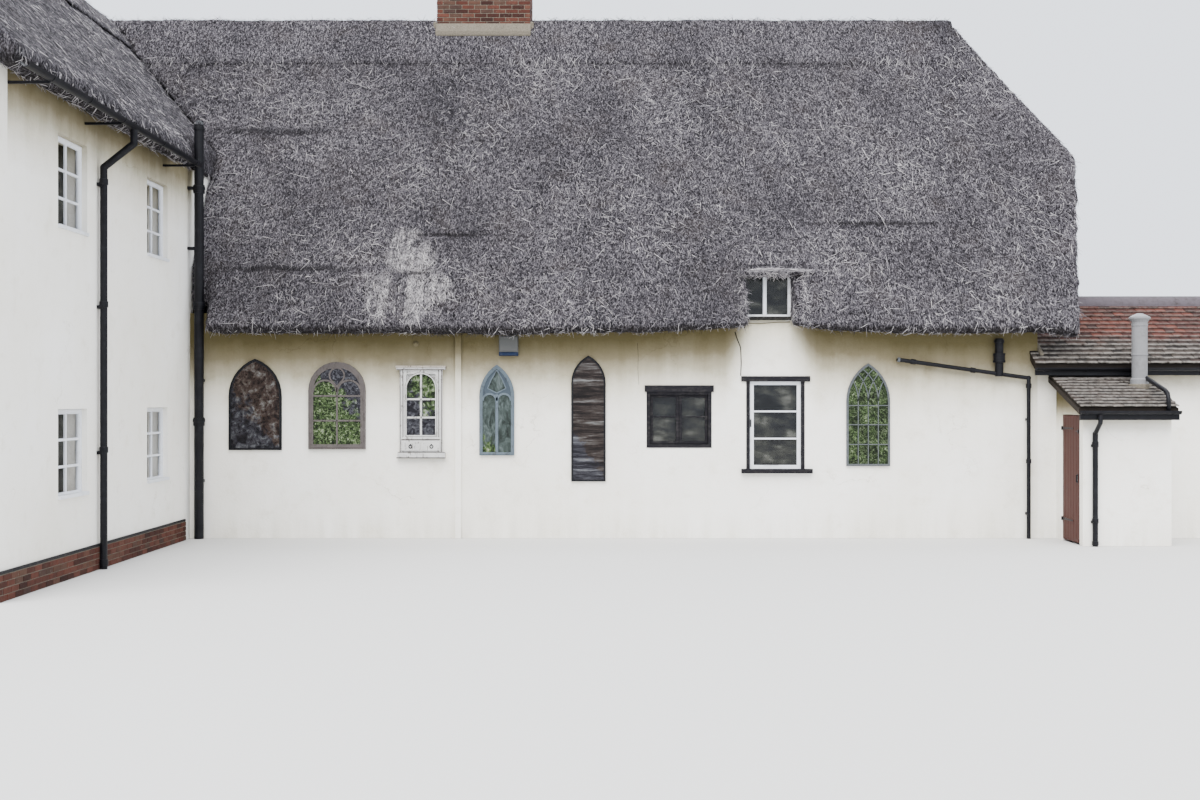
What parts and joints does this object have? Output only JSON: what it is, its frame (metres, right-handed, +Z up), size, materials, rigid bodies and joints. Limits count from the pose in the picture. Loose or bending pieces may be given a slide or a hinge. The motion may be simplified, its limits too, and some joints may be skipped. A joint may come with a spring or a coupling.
{
  "type": "thatched cottage",
  "caption": "Long rendered cottage with a steep thatched roof, a taller thatched wing, a brick chimney, a low tiled range, a lean-to with a hinged door, and framed mirrors on its front wall.",
  "frame": {"origin": "On the level ground, at the middle of the main range's front wall thickness. The picture's centre line passes through it.", "axes": "+X runs along the front to the right, +Y to the back, +Z up."},
  "size_m": [22.06, 14.44, 11.0503],
  "materials": {
    "render": "cream limewash over render, hairline cracks and damp stains",
    "thatch": "weathered grey-brown reed and straw thatch",
    "ridge_thatch": "weathered ridge thatch",
    "brick": "weathered red brick with pale mortar",
    "clay": "fired clay pots in a mortar bed",
    "floor_boards": "plain boards",
    "black_timber": "black stained timber, worn",
    "white_paint": "white gloss paint on timber",
    "roof_tile": "weathered plain clay tiles",
    "black_metal": "black paint on iron",
    "flue_metal": "pale grey painted metal",
    "door_paint": "dark brown stained boards",
    "pale_plastic": "cream casing",
    "white_plastic": "white casing, lower part blue",
    "grey_wood": "worn taupe paint",
    "blue_wood": "worn grey-blue paint",
    "pale_wood": "distressed white paint",
    "grey_metal": "weathered grey paint on metal",
    "glass": "clear window glass"
  },
  "bodies": {
    "house": {"main_thatch": "thatch", "wing_thatch": "thatch", "main_ridge_cap": "ridge_thatch", "wing_ridge_cap": "ridge_thatch", "front_wall": "render", "back_wall": "render", "right_gable_wall": "render", "left_wall": "render", "wing_east_wall": "render", "wing_front_wall": "render", "wing_plinth": "brick", "ground_floor": "floor_boards", "upper_floor": "floor_boards", "chimney_stack": "brick", "chimney_pots": "clay", "casement_surround": "black_timber", "casement_sash": "white_paint", "casement_glass": "glass", "dark_window_frame": "black_timber", "dark_window_glass": "glass", "dormer_frame": "white_paint", "dormer_glass": "glass", "wing_lower_glass": "glass", "wing_upper_glass": "glass", "back_glass": "glass", "back_door": "door_paint", "service_front_wall": "render", "service_back_wall": "render", "service_end_wall": "render", "service_front_roof": "roof_tile", "service_back_roof": "roof_tile", "service_gutter": "black_metal", "lean_to_front_wall": "render", "lean_to_end_wall": "render", "lean_to_back_pier": "render", "lean_to_door_head": "render", "lean_to_floor": "floor_boards", "lean_to_roof": "roof_tile", "lean_to_gutter": "black_metal", "lean_to_downpipe": "black_metal", "lean_to_flue": "flue_metal", "wing_gutter": "black_metal", "wing_downpipe": "black_metal", "vent_stack": "black_metal", "waste_pipes": "black_metal", "wall_pipe": "pale_plastic", "alarm_box": "white_plastic", "black_arched_mirror": "black_metal", "round_arched_mirror": "grey_wood", "blue_arched_mirror": "blue_wood", "tall_dark_mirror": "black_metal", "lattice_mirror": "grey_metal", "cabinet_mirror": "pale_wood"},
    "side_door": {"lean_to_door": "door_paint"}
  },
  "joints": [
    {"name": "lean_to_door_hinge", "type": "hinge", "parent": "house", "child": "side_door", "pos_m": [7.282, -0.493, 1], "axis": [0, 0, -1], "range_deg": [0, 95]}
  ]
}
